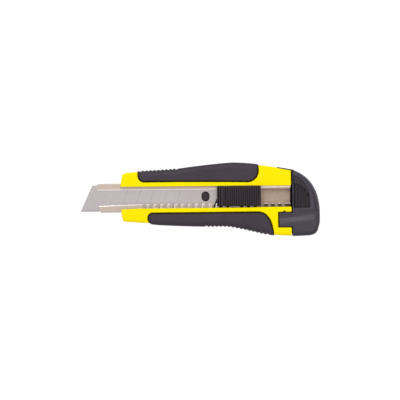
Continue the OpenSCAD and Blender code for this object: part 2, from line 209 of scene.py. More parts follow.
# ---- meshes
def apart(p, a, b):
    """Distance from each point to the nearest of the segments a-b."""
    best = np.full(len(p), 1e9)
    d = b - a
    length = np.maximum((d * d).sum(1), 1e-12)
    for s in range(0, len(p), 2000):
        q = p[s:s + 2000, None] - a[None]
        t = np.clip((q * d).sum(2) / length, 0, 1)
        best[s:s + 2000] = np.sqrt(((q - t[..., None] * d) ** 2).sum(2)).min(1)
    return best


def within(p, loops):
    """Which points lie inside the outlines, by the even-odd rule."""
    odd = np.zeros(len(p), bool)
    for loop in loops:
        a, b = loop, np.roll(loop, -1, 0)
        for s in range(0, len(p), 2000):
            x, y = p[s:s + 2000, :1], p[s:s + 2000, 1:]
            across = (a[:, 1] > y) != (b[:, 1] > y)
            rise = np.where(a[:, 1] == b[:, 1], 1, b[:, 1] - a[:, 1])
            hit = across & (x < a[:, 0] + (y - a[:, 1]) * (b[:, 0] - a[:, 0]) / rise)
            odd[s:s + 2000] ^= hit.sum(1) % 2 == 1
    return odd


def drop(d, edge):
    """How far a rounded edge, (width, height) of a quarter ellipse, falls at distance d."""
    t = np.clip(1 - d / edge[0], 0, 1)
    return edge[1] * (1 - np.sqrt(1 - t * t))


def make(name, verts, faces):
    mesh = bpy.data.meshes.new(name)
    mesh.from_pydata([tuple(float(c) * MM for c in v) for v in verts], [], faces)
    mesh.validate()
    obj = bpy.data.objects.new(name, mesh)
    bpy.context.scene.collection.objects.link(obj)
    return obj


SEAM = 1  # the kind of edge that lies against another part
RIM_EDGE = {0: (2.0, 1.8), SEAM: (0.4, 0.35)}  # roundings of the housing's faces
PARTING_EDGE = {0: (0.25, 0.22), SEAM: (0.1, 0.05)}  # and of both halves where they meet


def solid(name, loops, z_low, z_top, top, low, kind=None, lift=None, sink=None, grid=1.8,
          extra=None, creases=()):
    """A closed solid over an area. top and low are the (width, height) of its rounded edges,
    or a dict of one for each kind, and kind(x, y) says which applies on the outline.
    lift and sink, functions of (x, y, distance to the outline), shape the two faces. The distance
    to a seam is kept as an attribute, for the painted shade beside seams in the materials."""
    top, low = ({0: e} if isinstance(e, tuple) else e for e in (top, low))
    loops = [dense(q) for q in loops]
    a = np.concatenate(loops)
    b = np.concatenate([np.roll(q, -1, 0) for q in loops])
    mid = (a + b) / 2
    kinds = np.zeros(len(a), int) if kind is None else kind(mid[:, 0], mid[:, 1])
    used = sorted(set(kinds.tolist()))
    points = []
    for q, n0 in zip(loops, np.cumsum([0] + [len(q) for q in loops])):
        n = normals(q)
        own = kinds[n0:n0 + len(q)]
        for k in used:
            w = max(top[k][0], low[k][0])
            here = (own == k) | (np.roll(own, 1) == k)
            for t in (0.97, 0.87, 0.7, 0.5, 0.27, 0.0):
                c = q[here] + n[here] * w * (1 - t)
                far = apart(c, a, b)
                points.append(c[far > 0.96 * w * (1 - t) - 0.004])
    reach = max(max(top[k][0], low[k][0]) for k in used)
    lo, hi = a.min(0), a.max(0)
    if extra is None:
        gx, gy = np.meshgrid(np.arange(lo[0], hi[0], grid), np.arange(lo[1], hi[1], grid))
        c = np.stack([gx.ravel(), gy.ravel()], 1)
        points.append(c[apart(c, a, b) > reach + 0.4 * grid])
    else:
        c = np.array(extra, float)
        points.append(c[apart(c, a, b) > 0.12])
    points = np.concatenate(points)
    points = points[within(points, loops)]
    _, first = np.unique(np.round(points / 0.09).astype(int), axis=0, return_index=True)
    points = points[np.sort(first)]
    if len(creases):
        ca = np.concatenate([np.array(c)[:-1] for c in creases])
        cb = np.concatenate([np.array(c)[1:] for c in creases])
        points = points[apart(points, ca, cb) > 0.05]
    flat = [Vector(q) for q in a.tolist()] + [Vector(q) for q in points.tolist()]
    edges, n0 = [], 0
    for q in loops:
        edges += [(n0 + i, n0 + (i + 1) % len(q)) for i in range(len(q))]
        n0 += len(q)
    for c in creases:
        edges += [(len(flat) + i, len(flat) + i + 1) for i in range(len(c) - 1)]
        flat += [Vector((float(q[0]), float(q[1]))) for q in c]
    co, _, tris, _, _, _ = delaunay_2d_cdt(flat, edges, [], 0, 1e-4, False)
    co = np.array([tuple(q) for q in co])
    tris = np.array(tris)
    tris = tris[within(co[tris].mean(1), loops)]
    order = np.unique(tris)
    renumber = np.full(len(co), -1)
    renumber[order] = np.arange(len(order))
    co, tris = co[order], renumber[tris]
    x, y = co[:, 0], co[:, 1]
    far = {k: apart(co, a[kinds == k], b[kinds == k]) for k in used}
    least = np.minimum.reduce(list(far.values()))
    up = z_top - np.maximum.reduce([drop(far[k], top[k]) for k in used])
    down = z_low + np.maximum.reduce([drop(far[k], low[k]) for k in used])
    if lift is not None:
        up = up + lift(x, y, least)
    if sink is not None:
        down = down + sink(x, y, least)
    up = np.maximum(up, down + 0.02)
    m = len(co)
    half = {(int(f[k]), int(f[(k + 1) % 3])) for f in tris for k in range(3)}
    rim = [(i, j) for i, j in half if (j, i) not in half]
    verts = np.concatenate([np.column_stack([co, up]), np.column_stack([co, down])])
    faces = [tuple(int(i) for i in f) for f in tris]
    faces += [tuple(int(i) + m for i in f[::-1]) for f in tris]
    faces += [(j, i, i + m, j + m) for i, j in sorted(rim)]
    obj = make(name, verts, faces)
    if SEAM in far:
        seam = obj.data.attributes.new("seam", "FLOAT", "POINT")
        seam.data.foreach_set("value", np.tile(far[SEAM], 2).astype(np.float32))
    return obj


def carve(obj, others, operation="DIFFERENCE"):
    """Takes the others from obj, or joins them to it, and removes them."""
    for o in others:
        m = obj.modifiers.new("carve", "BOOLEAN")
        m.object, m.operation, m.solver = o, operation, "EXACT"
    bpy.context.view_layer.update()
    graph = bpy.context.evaluated_depsgraph_get()
    mesh = bpy.data.meshes.new_from_object(obj.evaluated_get(graph))
    obj.modifiers.clear()
    obj.data = mesh
    for o in others:
        bpy.data.objects.remove(o)
    return obj


def prism(loop, z0, z1):
    """A plain prism over an anticlockwise outline, for cutting and joining."""
    n = len(loop)
    verts = [(*q, z0) for q in loop] + [(*q, z1) for q in loop]
    faces = [tuple(range(n - 1, -1, -1)), tuple(range(n, 2 * n))]
    faces += [(i, (i + 1) % n, n + (i + 1) % n, n + i) for i in range(n)]
    return make("prism", verts, faces)


def block(x0, y0, z0, x1, y1, z1, r=0.0):
    """A box between two corners, with its upright edges rounded by r."""
    return prism(rectangle(x0, y0, x1, y1, r), z0, z1)


def place(obj, body, material, slot, *nodes, angle=38):
    """Finishes a piece, with edges sharp above angle, and gives it to its body."""
    obj.data.materials.clear()
    obj.data.materials.append(material)
    for p in obj.data.polygons:
        p.use_smooth = True
    obj.data.set_sharp_from_angle(angle=math.radians(angle))
    obj.modifiers.new("normals", "WEIGHTED_NORMAL").keep_sharp = True
    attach(obj, body)
    if nodes:
        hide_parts(*nodes)
    return obj


# ---- materials
class Nodes:
    """A node tree of a material or of the world."""

    def __init__(self, owner):
        owner.use_nodes = True
        self.tree = owner.node_tree

    def add(self, kind, **values):
        node = self.tree.nodes.new(kind)
        for key, value in values.items():
            setattr(node, key, value)
        return node

    def put(self, node, key, value):
        if isinstance(value, bpy.types.NodeSocket):
            self.tree.links.new(value, node.inputs[key])
        else:
            node.inputs[key].default_value = value

    def map(self, value, low, high, to_low, to_high):
        node = self.add("ShaderNodeMapRange")
        for key, v in (("Value", value), ("From Min", low), ("From Max", high),
                       ("To Min", to_low), ("To Max", to_high)):
            self.put(node, key, v)
        return node.outputs["Result"]

    def maths(self, operation, a, b=0.0):
        node = self.add("ShaderNodeMath", operation=operation)
        self.put(node, 0, a)
        self.put(node, 1, b)
        return node.outputs["Value"]

    def times(self, first, *others):
        for value in others:
            first = self.maths("MULTIPLY", first, value)
        return first

    def phase(self, value, start, pitch):
        """How far a value is into its step of a row, from 0 to 1, with the row in mm."""
        past = self.maths("SUBTRACT", value, start * MM)
        return self.maths("FRACT", self.maths("DIVIDE", past, pitch * MM))

    def mix(self, factor, a, b):
        node = self.add("ShaderNodeMix", data_type="RGBA")
        self.put(node, "Factor", factor)
        self.put(node, 6, a)
        self.put(node, 7, b)
        return node.outputs[2]


class Finish(Nodes):
    """A material built from nodes, with object coordinates in millimetres."""

    def __init__(self, name, **sockets):
        self.mat = bpy.data.materials.new(name)
        super().__init__(self.mat)
        self.bsdf = self.tree.nodes["Principled BSDF"]
        for key, value in sockets.items():
            self.bsdf.inputs[key.replace("_", " ")].default_value = value
        self.coords = self.add("ShaderNodeTexCoord").outputs["Object"]

    def axis(self, name):
        split = self.add("ShaderNodeSeparateXYZ")
        self.put(split, "Vector", self.coords)
        return split.outputs[name]

    def scaled(self, x, y, z, turn=0.0):
        node = self.add("ShaderNodeMapping")
        self.put(node, "Vector", self.coords)
        node.inputs["Rotation"].default_value = (0, 0, turn)
        node.inputs["Scale"].default_value = (x / MM, y / MM, z / MM)
        return node.outputs["Vector"]

    def noise(self, scale, detail=2.0, rough=0.5, warp=0.0, vector=None):
        node = self.add("ShaderNodeTexNoise")
        self.put(node, "Vector", vector or self.scaled(scale, scale, scale))
        self.put(node, "Scale", 1.0)
        self.put(node, "Detail", detail)
        self.put(node, "Roughness", rough)
        self.put(node, "Distortion", warp)
        return node.outputs["Fac"]

    def edges(self, low=0.52, high=0.62):
        point = self.add("ShaderNodeNewGeometry").outputs["Pointiness"]
        return self.map(point, low, high, 0.0, 1.0)

    def bump(self, *layers):
        """Layers of (height, depth in mm)."""
        normal = None
        for height, depth in layers:
            node = self.add("ShaderNodeBump")
            self.put(node, "Strength", 1.0)
            self.put(node, "Distance", depth * MM)
            self.put(node, "Height", height)
            if normal is not None:
                self.put(node, "Normal", normal)
            normal = node.outputs["Normal"]
        self.put(self.bsdf, "Normal", normal)

    def done(self, colour, rough):
        self.put(self.bsdf, "Base Color", colour)
        self.put(self.bsdf, "Roughness", rough)
        return self.mat


def rgb(*shown):
    """The linear colour of a display colour, whose parts run from 0 to 255."""
    line = [c / 255 for c in shown]
    line = [c / 12.92 if c <= 0.04045 else ((c + 0.055) / 1.055) ** 2.4 for c in line]
    return (*line, 1.0)


def plastic(name, base, worn, dirt, rough, grain, depth, wear=0.35, deep=None, seam=None,
            **sockets):
    """Moulded plastic or rubber: a fine moulded grain, faint mottling, worn edges. deep is a
    painted shade for the surfaces down in a joint: its colour, and their limits as (axis, from,
    to). seam is (near, far, colour) of a painted shade on those beside a seam."""
    f = Finish(name, **sockets)
    broad = f.noise(0.05, 3, 0.55)
    fine = f.noise(1.1, 4, 0.6)
    colour = f.mix(f.map(broad, 0.35, 0.7, 0.0, 0.55), base, dirt)
    colour = f.mix(f.map(fine, 0.56, 0.78, 0.0, 0.5), colour, worn)
    edge = f.times(f.edges(), f.map(f.noise(0.6, 5, 0.7), 0.4, 0.65, 0.0, wear))
    colour = f.mix(edge, colour, worn)
    # painted shade on the surfaces down in a joint
    if deep:
        masks = [f.map(f.axis(axis), a * MM, b * MM, 1, 0) for axis, a, b in deep[1:]]
        colour = f.mix(f.times(0.95, *masks), colour, deep[0])
    # painted shade on the surfaces beside a seam
    if seam:
        near = f.add("ShaderNodeAttribute", attribute_name="seam").outputs["Fac"]
        colour = f.mix(f.map(near, seam[0], seam[1], 0.9, 0.0), colour, seam[2])
    rub = f.map(f.noise(0.12, 5, 0.6, 0.6), 0.35, 0.7, rough[0], rough[1])
    scratch = f.noise(1, 2, 0.5, vector=f.scaled(0.08, 2.6, 1.0, 0.5))
    rub = f.maths("ADD", rub, f.map(scratch, 0.62, 0.75, 0.0, 0.06))
    f.bump((f.noise(grain, 2, 0.5), depth), (f.noise(0.09, 1, 0.4), 0.02),
           (scratch, depth * 0.25))
    return f.done(colour, rub)


class Steel(Finish):
    """Metal with fine grinding lines and faint stains."""

    def __init__(self, name, along, stains=0.18):
        super().__init__(name, Metallic=1.0)
        self.lines = self.noise(1, 3, 0.6, vector=self.scaled(*along))
        self.stain = self.noise(stains, 5, 0.65, 0.4)

    def ground(self, base, dark):
        colour = self.mix(self.map(self.stain, 0.42, 0.75, 0.0, 0.3), base, dark)
        return self.mix(self.map(self.lines, 0.35, 0.7, 0.0, 0.35), colour, dark)

    def polished(self, colour, rough, dull=None):
        """The roughness runs between two values over the lines, and dull adds to it."""
        if dull is None:
            dull = self.map(self.stain, 0.5, 0.8, 0.0, 0.1)
        self.bump((self.lines, 0.003), (self.noise(0.25, 2, 0.5), 0.006))
        return self.done(colour, self.maths("ADD", self.map(self.lines, 0.3, 0.7, *rough), dull))


def steel(name, base, dark, rough, along=(0.04, 6.0, 6.0)):
    """Strip or turned steel, with a painted highlight along its edges."""
    f = Steel(name, along)
    colour = f.mix(f.edges(0.53, 0.6), f.ground(base, dark), rgb(250, 240, 238))
    return f.polished(colour, rough)


def blade_finish():
    """Ground steel, a little darker towards the tail, with a brown painted shade along the
    cutting edge where it lies under the rail's lower lip.
    """
    f = Steel("blade_ground", (2.5, 0.08, 3.0))
    x, y = f.axis("X"), f.axis("Y")
    colour = f.ground(rgb(187, 180, 181), rgb(176, 167, 168))
    colour = f.mix(f.map(x, -20 * MM, 8 * MM, 0.0, 0.85), colour, rgb(175, 168, 165))
    # painted shade: browner and darker along the cutting edge, under the rail's lower lip
    low = f.times(f.map(y, -1.2 * MM, -3.2 * MM, 0.0, 0.75),
                  f.map(x, -66 * MM, -50 * MM, 0.0, 1.0))
    colour = f.mix(low, colour, rgb(170, 156, 148))
    # the far flanks of the score lines get a painted shade, most of all away from the tip
    rise = f.maths("SUBTRACT", y, SCORE_Y * MM)
    along = f.maths("SUBTRACT", x, f.times(rise, LEAN))
    phase = f.phase(along, FIRST_SCORE, SCORE_PITCH)
    flank = f.times(f.map(phase, 0.0, 0.015, 0.0, 1.0), f.map(phase, 0.045, 0.06, 1.0, 0.0),
                    f.map(x, -62 * MM, -50 * MM, 0.12, 0.38),
                    f.map(x, -10 * MM, -9 * MM, 1.0, 0.0))
    colour = f.mix(flank, colour, rgb(112, 100, 98))
    return f.polished(colour, (0.26, 0.36))


def rail_finish():
    """Folded sheet: brown and dull inside and on its sides, the inside's colour partly grease and
    partly painted shade of the channel; with painted highlights along the lips and a pale one on
    the upper lip behind the slider, and painted shade on the teeth behind the slider."""
    f = Steel("rail_sheet", (0.05, 5.0, 5.0), 0.2)
    x, y, z = f.axis("X"), f.axis("Y"), f.axis("Z")
    ramp = lambda v, low, high, top=1.0: f.map(v, low * MM, high * MM, 0.0, top)
    lip = f.mix(f.map(f.stain, 0.4, 0.75, 0.0, 0.6), rgb(198, 184, 172), rgb(186, 170, 157))
    # the inside's browner colour is partly grease and partly a painted shade of the channel
    back = f.mix(f.map(f.stain, 0.4, 0.7, 0.0, 0.8), rgb(178, 156, 138), rgb(160, 139, 126))
    low = ramp(z, 10.4, 8.0)
    colour = f.mix(low, lip, back)
    toothed, behind = ramp(x, -46, -36), ramp(x, 38, 43)
    colour = f.mix(f.times(toothed, ramp(y, -2.0, -2.7, 0.7)), colour, rgb(182, 168, 158))
    colour = f.mix(f.times(behind, ramp(y, 6.6, 6.8)), colour, rgb(168, 146, 132))
    # a pale painted highlight band on the upper lip behind the slider
    pale_highlight = f.times(behind, ramp(y, 7.6, 7.9), ramp(y, 9.0, 8.6))
    colour = f.mix(pale_highlight, colour, rgb(252, 232, 238))
    # painted shade: the teeth's faces behind the slider are near-black
    teeth = f.times(behind, ramp(y, -3.0, -3.3), ramp(z, 10.8, 11.0, 0.97))
    colour = f.mix(teeth, colour, rgb(40, 28, 24))
    # painted highlights: bright lines along the lips' inner edges and on the teeth's flanks,
    # where light would catch the rounded sheet
    upper = f.times(ramp(y, 7.5, 7.2), ramp(y, 6.6, 6.7), ramp(x, 43, 38))
    rim = f.maths("ADD", f.map(x, -70 * MM, -54 * MM, -3.85 * MM, -3.1 * MM),
                  f.map(x, -54 * MM, -38 * MM, 0, 0.3 * MM))
    lower = f.times(ramp(f.maths("SUBTRACT", y, rim), -0.6, -0.35), ramp(y, 0.1, 0.0),
                    f.map(x, -46 * MM, -38 * MM, 1.0, 0.35))
    phase = f.phase(x, FIRST_GAP, TOOTH_PITCH)
    flank = f.times(f.map(phase, 0.22, 0.27, 0, 1), f.map(phase, 0.36, 0.44, 0.5, 0),
                    toothed, ramp(x, 43, 38), ramp(y, -2.7, -2.8))
    edge_highlight = f.maths("MAXIMUM", f.maths("MAXIMUM", upper, lower), flank)
    edge_highlight = f.times(edge_highlight, ramp(z, 10.8, 11.0), f.map(f.stain, 0.35, 0.6, 1.0, 0.8))
    colour = f.mix(edge_highlight, colour, rgb(250, 244, 243))
    sides = f.maths("ADD", ramp(y, 11.05, 11.35), ramp(y, -7.75, -8.05))
    colour = f.mix(sides, colour, rgb(160, 142, 128))
    colour = f.mix(f.map(f.lines, 0.35, 0.7, 0.0, 0.25), colour, rgb(150, 132, 118))
    return f.polished(colour, (0.3, 0.44), f.times(low, 0.14))


YELLOW = plastic("yellow_housing", rgb(252, 230, 0), rgb(255, 236, 26), rgb(251, 219, 0),
                 (0.4, 0.54), 5.0, 0.012, wear=0.3, Specular_IOR_Level=0.3,
                 Specular_Tint=(1.0, 0.9, 0.1, 1.0))
# the seam colour is a painted shade in the grooves round the grips
RUBBER = plastic("grip_rubber_soft", rgb(59, 49, 60), rgb(82, 72, 81), rgb(50, 41, 51),
                 (0.46, 0.62), 3.2, 0.03, wear=0.5, seam=(0.45, 0.95, rgb(22, 10, 12)),
                 Specular_IOR_Level=0.27)
# the deep colour is a painted shade on the cap's surfaces down in its joint with the housing
CAP_FINISH = plastic("cap_moulding", rgb(60, 54, 66), rgb(88, 84, 98), rgb(50, 45, 56),
                     (0.28, 0.4), 4.0, 0.012, wear=0.35,
                     deep=(rgb(6, 2, 2), ("Z", 12.0, 14.5), ("X", CAP_X, CAP_X + 0.2),
                           ("Y", 18.9, 19.1)), Specular_IOR_Level=0.33)
PAD_FINISH = plastic("pad_ribs", rgb(42, 35, 43), rgb(66, 59, 68), rgb(33, 28, 34),
                     (0.4, 0.55), 3.6, 0.02, Specular_IOR_Level=0.35)
# the deep colour is a painted shade on the slider's low surfaces, seen through the gap behind the
# blade's tail
SLIDER_FINISH = plastic("slider_moulding", rgb(42, 30, 38), rgb(72, 60, 67), rgb(32, 23, 30),
                        (0.32, 0.48), 4.0, 0.015, wear=0.45,
                        deep=(rgb(12, 5, 7), ("Z", 10.55, 10.85)), Specular_IOR_Level=0.32)
# painted shade: a near-black, barely glossy plastic for pieces seen only down in joints and gaps
JOINT_SHADE = plastic("joint_painted_shade", rgb(9, 4, 6), rgb(18, 11, 13), rgb(5, 2, 3),
                       (0.6, 0.75), 4.0, 0.015, wear=0.1, Specular_IOR_Level=0.03)
BLADE_FINISH = blade_finish()
RAIL_FINISH = rail_finish()
SPRING_FINISH = steel("spring_strip", rgb(205, 195, 188), rgb(168, 156, 148), (0.26, 0.4))
SCREW_FINISH = steel("screw_zinc", rgb(196, 194, 190), rgb(150, 146, 138), (0.28, 0.45),
                     along=(2.0, 2.0, 2.0))


# ---- housing
def beside(loop, width):
    """The kinds of edge of points: 0 within width of that closed outline, SEAM elsewhere."""
    c = np.array(loop, float)
    return lambda x, y: np.where(
        apart(np.stack([x, y], 1), c, np.roll(c, -1, 0)) < width, 0, SEAM)


SIDE = rectangle(-70, -40, REAR_X - 0.3, 40)
UPPER_HALF = [(-70, WINDOW[1]), (38, WINDOW[1]), (43, WINDOW[1] - 0.22),
              (70, WINDOW[1] - 0.22), (70, 40), (-70, 40)]
LOWER_HALF = [(-70, -40), (70, -40), (70, WINDOW[0] + 0.27), (40, WINDOW[0] + 0.27),
              (34, WINDOW[0]), (-43, WINDOW[0]), (-49, WINDOW[0] - 0.25),
              (-54, WINDOW[0] - 0.5), (-70, WINDOW[0] - 0.5)]
GROOVE, FIT = 0.5, 0.05  # round the grips on the face, and on the back
NOTCH_GAP = 0.5
NOTCH = rectangle(TONGUE[0] - NOTCH_GAP - 0.3, TONGUE[1] - NOTCH_GAP, 70, TONGUE[2] + NOTCH_GAP)
DETENT = arc((57.4, TONGUE[2] + NOTCH_GAP), 0.9, 0, 360, 24)[:-1]


def arm_kind(x, y):
    return np.where(x < JOINT_X - 0.2, beside(BODY, 0.3)(x, y), SEAM)


def collar(depth, x0, x1, z0, z1):
    """A prism that follows the housing's outline at that depth below its surface."""
    loop = areas([inset(BODY, depth), rectangle(x0, -40, x1, 40)])[0]
    return prism(loop, z0, z1)


def collar_room(top):
    """The room for the cap's collar in the housing, a little larger than the collar."""
    return collar(1.4, COLLAR[0] - 0.1, REAR_X + 1, COLLAR[1] - 0.15, top)


def roof(room=0.0):
    """The cap's cover over the upper spigot, or the room for it."""
    return block(COLLAR[0] - room, 11.7 - room, 8, COLLAR_END, 14.8 + room, 13.2 + room)


def housing_front():
    """The face half: two arms beside the window, a floor under the rail, and the spigots."""
    upper = areas([BODY, rectangle(-70, -40, JOINT_X, 40), UPPER_HALF],
                  [inset(UPPER, -GROOVE), STEP_BACK])
    lower = areas([BODY, SIDE, LOWER_HALF], [inset(LOWER, -GROOVE), NOTCH, DETENT])
    arms = [solid("arm", [soften(q, 3)], PART_Z, FACE_Z, RIM_EDGE, PARTING_EDGE, arm_kind)
            for q in upper[:1] + lower[:1]]
    floor = block(-53.6, RAIL_LO[1] - 1.5, PART_Z, JOINT_X - 0.1, RAIL_TOP + 1.5, RAIL_Z)
    pegs = [solid("spigot", [rectangle(JOINT_X - 1.5, y0, FRAME_HI[0], y1, 0.5)], z0, z1,
                  (0.35, 0.35), (0.35, 0.35)) for y0, y1, z0, z1 in SPIGOTS]
    tray = block(-60, RAIL_LO[1] - 0.1, RAIL_Z, REAR_X + 1, RAIL_TOP + 0.1, LIP_Z + 0.1)
    carve(arms[0], [arms[1], floor], "UNION")
    carve(arms[0], [tray, collar_room(COLLAR[2] + 0.15), roof(0.15)])
    return carve(arms[0], pegs, "UNION")


def housing_back():
    """The back half: a flat cover with screw recesses and the magazine's room."""
    loops = areas([BODY, SIDE], [inset(UPPER, -FIT), inset(LOWER, -FIT)])
    holes = [np.array(arc(p, 2.3, 0, 360, 32)[:-1])[::-1] for p in SCREWS]
    kind = lambda x, y: np.where(
        np.min([np.hypot(x - p[0], y - p[1]) for p in SCREWS], 0) < 2.5, 2, arm_kind(x, y))
    # the back half is made face down, from the parting plane to the back
    part = solid("housing_back", [soften(loops[0], 3), *holes], BACK_Z, PART_Z,
                 {**PARTING_EDGE, 2: (0.1, 0.05)}, {**RIM_EDGE, 2: (0.3, 0.25)}, kind)
    bosses = [prism(arc(p, 2.4, 0, 360, 32)[:-1], 2.85, PART_Z - 0.02) for p in SCREWS]
    carve(part, bosses, "UNION")
    bores = [prism(arc(p, 1.15, 0, 360, 20)[:-1], 2, PART_Z + 1) for p in SCREWS]
    magazine = block(-46, MIDDLE - MAGAZINE, 2.4, REAR_X + 1, MIDDLE + MAGAZINE, 30)
    return carve(part, [*bores, magazine, collar_room(30)])


SPINE_RIPPLES, BELLY_RIPPLES = (-40.6, 2.72, 10), (4.2, 2.77, 16)  # first, pitch, count
OUTER_FACE, OUTER_BACK, INNER = (4.2, 2.6), (3.2, 2.2), (0.9, 1.1)  # the grips' roundings


def ripple(x, first, pitch, count, depth, swell):
    """Depth of one run of ripples below the outline; swell lifts the whole run."""
    wave = 0.5 + 0.5 * np.cos(2 * np.pi * (x - first) / pitch)
    low, high = first - pitch / 2, first + (count - 0.5) * pitch
    ease = np.clip(np.minimum(x - low, high - x) / pitch, 0, 1)
    return np.where((x > low) & (x < high), depth * wave ** 0.8, 0.0) - swell * ease


def ripples(x, y, depth=0.75, swell=0.3):
    return np.where(y > 0, ripple(x, *SPINE_RIPPLES, depth, swell),
                    ripple(x, *BELLY_RIPPLES, depth, swell))


def grip_outline():
    """The grips' outer line: proud of the housing, with the ripples cut into it."""
    p = dense(BODY, 0.3)
    return inset(p, ripples(p[:, 0], p[:, 1]) - PROUD)


GRIP_RIM = grip_outline()


def grip(name, area, z_low, z_top, outer, front):
    """One soft grip on the front or the back half of the housing."""
    loop = areas([GRIP_RIM, area])[0]
    kind, edge = beside(GRIP_RIM, 0.25), {0: outer, SEAM: INNER}

    def ribs(x, y, d):
        # the ripples run in over the rounded edge and fade out
        return -0.25 * ripples(x, y, 1, 0) * np.clip(1 - d / 3.0, 0, 1)

    if front:
        return solid(name, [soften(loop, 3)], z_low, z_top, edge, PARTING_EDGE, kind,
                     lift=ribs, grid=1.4)
    return solid(name, [soften(loop, 3)], z_low, z_top, PARTING_EDGE, edge, kind,
                 sink=lambda x, y, d: -ribs(x, y, d), grid=1.4)


# ---- rail
def lip_edge(x):
    """Where the toothed lip ends: a plain taper, then teeth with gaps between them."""
    plain = np.interp(x, [-71, -70, -54, -38], [-3.9, -3.8, -3.1, LIPS[0]])
    last = FIRST_GAP + (GAPS - 1) * TOOTH_PITCH
    near = FIRST_GAP + TOOTH_PITCH * np.round((x - FIRST_GAP) / TOOTH_PITCH)
    u = abs(x - np.clip(near, FIRST_GAP, last))
    # the gaps have rounded corners of 0.5 mm at the bottom, and the teeth of 0.7 mm on top
    v = np.clip(u - HALF_GAP + 0.5, 0, 0.5)
    floor = GAP_FLOOR + 0.5 - np.sqrt(np.maximum(0.25 - v * v, 0))
    v = np.clip(0.7 - (u - HALF_GAP), 0, 0.7)
    tooth = plain - (0.7 - np.sqrt(np.maximum(0.49 - v * v, 0)))
    return np.where(u < HALF_GAP, floor, tooth)


def rail():
    """The folded channel: one section after another along x, the first ones at the nose."""
    round_gap = [0, 0.4, 0.62, 0.8, 0.95, 1.06, HALF_GAP - 0.005, HALF_GAP + 0.005, 1.17,
                 1.3, 1.5, 1.85]
    stations = list(np.arange(-60, FIRST_GAP - 2, 3.0))
    for i in range(GAPS):
        g = FIRST_GAP + i * TOOTH_PITCH
        stations += [g + s * r for r in round_gap for s in (-1, 1)]
        stations.append(g + TOOTH_PITCH / 2)
    end = float(RAIL_HI[0]) - 0.5
    stations = sorted(set(round(float(s), 4) for s in stations if s < end - 0.1) | {end})
    front = smooth([(-68, RAIL_LO[1]), (-69.7, -3.8), (-70.9, 3), (-71.3, 7.2),
                    (-70.9, 9.9), (-69.6, RAIL_TOP)], 8)
    fy, fx = [q[1] for q in front], [q[0] for q in front]

    def section(low_lip, high_lip):
        """The sheet's outline across the rail: outside, then inside, with rounded lips."""
        y0, y1, z0, z1 = RAIL_LO[1], RAIL_TOP, RAIL_Z, LIP_Z
        under, outer, inner, e = z1 - SHEET, 0.45, 0.1, 0.13
        edge = ((0.5, z1), (e, z1), (0.04, z1 - 0.04), (0, z1 - e),
                (0, under + e), (0.04, under + 0.04), (e, under), (0.5, under))
        folds = lambda g: [(y0 + g, z1 - g), (y0 + g, z0 + g), (y1 - g, z0 + g),
                           (y1 - g, z1 - g)]
        line = [(low_lip - u, z) for u, z in edge[::-1]]
        for i, c in enumerate(folds(outer)):
            line += arc(c, outer, 90 + 90 * i, 180 + 90 * i, 4)
        line += [(high_lip + u, z) for u, z in edge]
        for i, c in enumerate(folds(SHEET + inner)[::-1]):
            line += arc(c, inner, 450 - 90 * i, 360 - 90 * i, 2)
        return line

    verts = []
    rows = [(s, None) for s in (0.0, 0.15, 0.4, 0.8, 1.3, 2.2, 4.0)]
    rows += [(None, s) for s in stations]
    for step, x in rows:
        if x is None:
            cut = 1.0 - math.sqrt(max(0.0, 1 - (1 - min(step, 1.0)) ** 2))
            ring = section(float(lip_edge(-69 + step)) - cut, LIPS[1] + cut)
            start = [float(np.interp(q[0], fy, fx)) for q in ring]
            verts += [(a + (stations[0] - a) * step / 9, *q) for a, q in zip(start, ring)]
        else:
            verts += [(x, *q) for q in section(float(lip_edge(x)), LIPS[1])]
    n = len(ring)
    faces = []
    for i in range(len(rows) - 1):
        for j in range(n):
            k = (j + 1) % n
            faces.append((i * n + j, i * n + k, i * n + n + k, i * n + n + j))
    for row, flip in ((0, 1), (len(rows) - 1, 0)):
        ring = [Vector(verts[row * n + j][1:]) for j in range(n)]
        tris = delaunay_2d_cdt(ring, [], [list(range(n))[::-1]], 1, 1e-7, True)
        back = [o[0] for o in tris[3]]
        flat = np.array([tuple(q) for q in ring])
        for f in tris[2]:
            if not within(np.mean([[tuple(tris[0][i]) for i in f]], axis=1), [flat])[0]:
                continue
            f = [row * n + back[i] for i in f]
            faces.append(tuple(f if not flip else f[::-1]))
    return make("rail", verts, faces)


# ---- blade
SCORE = 0.33  # half the width of a score line


def slot_line(r, n):
    """An upright slot round the peg's middle, anticlockwise."""
    return (arc((PEG[0], PEG[1] + 0.7), r, 0, 180, n)
            + arc((PEG[0], PEG[1] - 0.7), r, 180, 360, n))


def behind_tail(gap, y):
    """The point at height y that lies that far behind the blade's slanted tail."""
    return (TAIL_X + gap + (y - BLADE_LO[1]) * LEAN, y)


def blade():
    """The blade, with a ground edge, score lines and its hole."""
    x0, y0, y1 = BLADE_LO[0], BLADE_LO[1], BLADE_HI[1]
    x1, lean = TAIL_X, (y1 - y0) * LEAN
    outline = [(x0, y0), (x1, y0), (x1 + lean, y1), (x0 + lean, y1)]
    hole = slot_line(2.75, 20)[::-1]
    edge = 1.4  # the width of the ground edge
    creases = [[(x0 + LEAN * edge + 0.1, y0 + edge), (x1 + LEAN * edge - 0.1, y0 + edge)]]
    scores = [FIRST_SCORE + SCORE_PITCH * i for i in range(SCORES)]
    for s in scores:
        for side in (-SCORE, 0.0, SCORE):
            creases.append([(s + side + (y - SCORE_Y) * LEAN, y)
                            for y in np.linspace(y0 + 0.06, y1 - 0.06, 30)])

    def bevel(x, y, d):
        return 0.235 * np.clip(1 - (y - y0) / edge, 0, 1)

    def ground(x, y, d):
        s = np.min([abs(x - (y - SCORE_Y) * LEAN - q) for q in scores], 0)
        worn = np.interp(x, [-66, -60], [0.3, 1.0])
        return -bevel(x, y, d) - 0.11 * worn * np.clip(1 - s / SCORE, 0, 1)

    return solid("blade_detail", [outline, hole], BLADE_LO[2], BLADE_HI[2],
                 (0.05, 0.03), (0.05, 0.03), lift=ground, sink=bevel, grid=1.5,
                 creases=creases)


